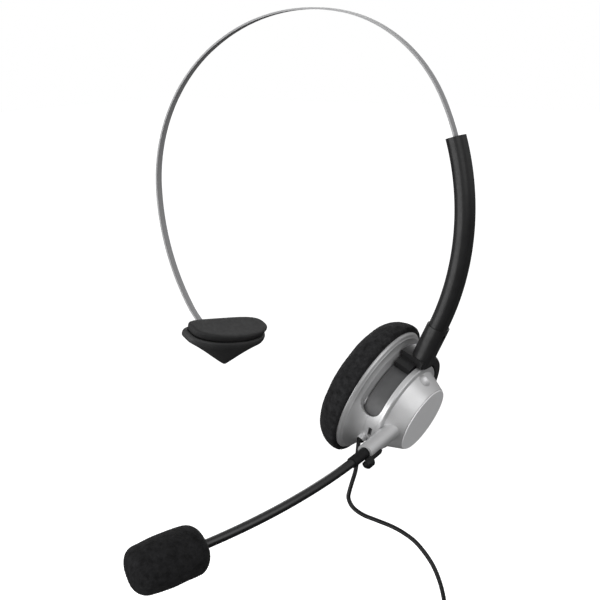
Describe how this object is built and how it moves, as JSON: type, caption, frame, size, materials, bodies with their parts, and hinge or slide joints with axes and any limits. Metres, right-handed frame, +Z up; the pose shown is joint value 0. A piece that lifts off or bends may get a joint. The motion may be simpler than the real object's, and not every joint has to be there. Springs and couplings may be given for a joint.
{
  "type": "telephone headset",
  "caption": "One-ear office headset: flat spring headband, sliding arm, turning cushioned ear cup, curved microphone boom with foam windscreen, swivelling temple pad, cord and small jack plug.",
  "frame": {"origin": "middle of the wearer's head at ear height, in the plane of the headband", "axes": "+Z up through the top of the headband, +X from the temple pad to the ear cup, the wearer faces -Y"},
  "size_m": [0.144, 0.1521, 0.2868],
  "materials": {
    "spring_steel": "fine brushed spring steel",
    "grey_plastic": "matt grey moulded plastic",
    "arm_black": "satin black moulded plastic",
    "inner_black": "matt black moulded plastic",
    "screw_steel": "plain steel",
    "silver_shell": "silver paint with a soft satin sheen on plastic",
    "hub_disc": "grey disc with a faint turned grain",
    "magnet_steel": "plated steel",
    "speaker_film": "thin translucent film",
    "grille_cloth": "fine woven cloth",
    "cushion_skin": "soft black open cell foam, matt",
    "boom_rubber": "black bendable tube, satin",
    "foam": "open cell black foam",
    "cord_rubber": "black cord jacket, satin",
    "plug_black": "black moulded grip",
    "plug_metal": "plated contacts",
    "pad_plastic": "satin black moulded plastic",
    "pad_foam": "black soft pad"
  },
  "bodies": {
    "band": {"band_strip": "spring_steel", "strip_shoe": "grey_plastic"},
    "arm": {"arm_sleeve": "arm_black", "sleeve_insert": "inner_black", "arm_yoke": "arm_black", "yoke_ring": "grey_plastic", "yoke_screw": "screw_steel"},
    "cup": {"cup_shell": "silver_shell", "hub_shell": "silver_shell", "hub_cap": "hub_disc", "spindle": "grey_plastic", "clamp_screw": "screw_steel", "wave_washer": "spring_steel", "speaker_frame": "inner_black", "speaker_magnet": "magnet_steel", "speaker_cone": "speaker_film", "speaker_baffle": "inner_black", "baffle_cloth": "grille_cloth", "ear_cushion": "cushion_skin", "boom_root": "inner_black", "boom_tube": "boom_rubber", "boom_clip": "cord_rubber", "mic_housing": "inner_black", "mic_capsule": "magnet_steel", "windscreen": "foam", "cord_gland": "cord_rubber", "cord": "cord_rubber", "cord_coil": "cord_rubber", "coil_tie": "inner_black", "plug_relief": "cord_rubber", "plug_body": "plug_black", "plug_shank": "plug_metal", "plug_insulator": "inner_black", "plug_tip": "plug_metal"},
    "pad": {"pad_shell": "pad_plastic", "pad_pin": "screw_steel", "pad_cushion": "pad_foam"}
  },
  "joints": [
    {"name": "arm_slide", "type": "hinge", "parent": "band", "child": "arm", "pos_m": [-0.02848, 0, 0.06658], "axis": [0, 1, 0], "range_deg": [0, 13]},
    {"name": "cup_turn", "type": "hinge", "parent": "arm", "child": "cup", "pos_m": [0.033, 0, -0.003], "axis": [0.8988, 0, -0.4384], "range_deg": [-58, 75]},
    {"name": "pad_swivel", "type": "hinge", "parent": "band", "child": "pad", "pos_m": [-0.03705, 0, 0.00729], "axis": [0.4695, 0, 0.8829], "range_deg": [-5, 31]}
  ]
}
